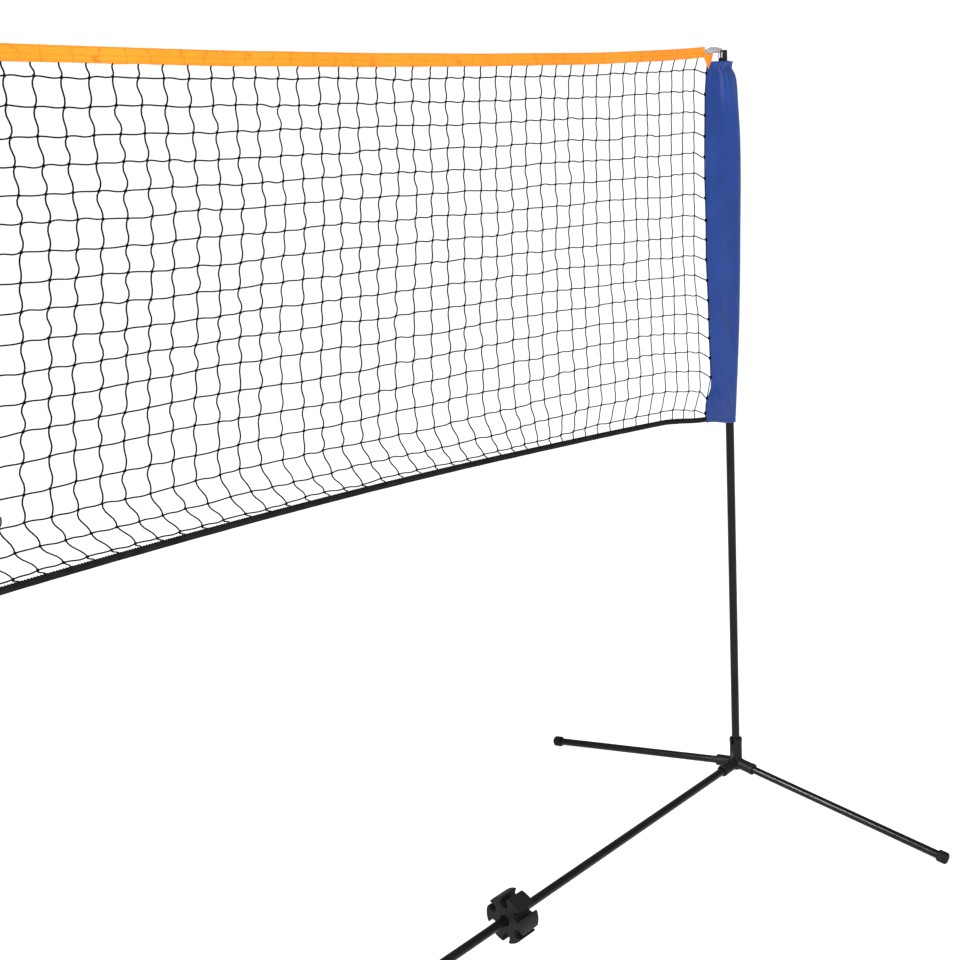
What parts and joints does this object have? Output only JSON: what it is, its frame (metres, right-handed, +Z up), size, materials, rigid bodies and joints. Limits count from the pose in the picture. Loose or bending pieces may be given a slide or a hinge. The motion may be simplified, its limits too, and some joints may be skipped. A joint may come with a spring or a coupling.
{
  "type": "portable badminton net",
  "caption": "Free-standing badminton net on two take-down posts, with sloping feet, a base rail with storage clips, an orange top tape and blue post sleeves.",
  "frame": {"origin": "on the floor under the middle of the net", "axes": "+X along the net towards the right post, +Y to the back, +Z up"},
  "size_m": [3.048, 0.967, 1.55],
  "materials": {
    "tube": "black powder-coated steel tube, satin",
    "moulding": "black moulded plastic, matt",
    "rubber": "black rubber, matt",
    "sleeve": "royal blue woven nylon with a soft sheen",
    "tape": "orange coated nylon tape, folded over the net's edge",
    "bottom_tape": "black woven tape with a whip-stitched edge",
    "net": "black knotted twine, square mesh",
    "loop": "pale grey nylon webbing"
  },
  "bodies": {
    "base": {"hub_right": "moulding", "hub_left": "moulding", "rail_tube_1": "tube", "rail_tube_2": "tube", "rail_tube_3": "tube", "rail_tube_4": "tube", "rail_plug_1": "moulding", "rail_plug_2": "moulding", "rail_plug_3": "moulding"},
    "foot_right_front": {"foot_tube_right_front": "tube", "foot_cap_right_front": "rubber"},
    "foot_right_back": {"foot_tube_right_back": "tube", "foot_cap_right_back": "rubber"},
    "foot_left_front": {"foot_tube_left_front": "tube", "foot_cap_left_front": "rubber"},
    "foot_left_back": {"foot_tube_left_back": "tube", "foot_cap_left_back": "rubber"},
    "clip_right": {"storage_clip_right": "moulding"},
    "clip_left": {"storage_clip_left": "moulding"},
    "post_foot_right": {"post_lower_right": "tube", "post_plug_right": "moulding"},
    "post_foot_left": {"post_lower_left": "tube", "post_plug_left": "moulding"},
    "net_and_post_tops": {"post_upper_right": "tube", "post_cap_right": "moulding", "post_sleeve_right": "sleeve", "tape_loop_right": "loop", "post_upper_left": "tube", "post_cap_left": "moulding", "post_sleeve_left": "sleeve", "tape_loop_left": "loop", "net_top_tape": "tape", "net_bottom_tape": "bottom_tape", "net_mesh": "net"}
  },
  "joints": [
    {"name": "foot_right_front_pull", "type": "slide", "parent": "base", "child": "foot_right_front", "axis": [-0.0605, -0.9899, -0.1285], "range_m": [0, 0.028]},
    {"name": "foot_right_back_pull", "type": "slide", "parent": "base", "child": "foot_right_back", "axis": [-0.0605, 0.9899, -0.1285], "range_m": [0, 0.028]},
    {"name": "foot_left_front_pull", "type": "slide", "parent": "base", "child": "foot_left_front", "axis": [0.0605, -0.9899, -0.1285], "range_m": [0, 0.028]},
    {"name": "foot_left_back_pull", "type": "slide", "parent": "base", "child": "foot_left_back", "axis": [0.0605, 0.9899, -0.1285], "range_m": [0, 0.028]},
    {"name": "clip_right_slide", "type": "slide", "parent": "base", "child": "clip_right", "axis": [1, 0, 0], "range_m": [-0.72, 0.667]},
    {"name": "clip_left_slide", "type": "slide", "parent": "base", "child": "clip_left", "axis": [-1, 0, 0], "range_m": [-0.72, 0.667]},
    {"name": "post_right_lift", "type": "slide", "parent": "base", "child": "post_foot_right", "axis": [0, 0, 1], "range_m": [0, 0.042]},
    {"name": "post_left_lift", "type": "slide", "parent": "base", "child": "post_foot_left", "axis": [0, 0, 1], "range_m": [0, 0.042]},
    {"name": "net_lift", "type": "slide", "parent": "post_foot_right", "child": "net_and_post_tops", "axis": [0, 0, 1], "range_m": [0, 0.042]}
  ],
  "couplings": [
    {"joint": "post_left_lift", "follows": "post_right_lift", "ratio": 1}
  ]
}
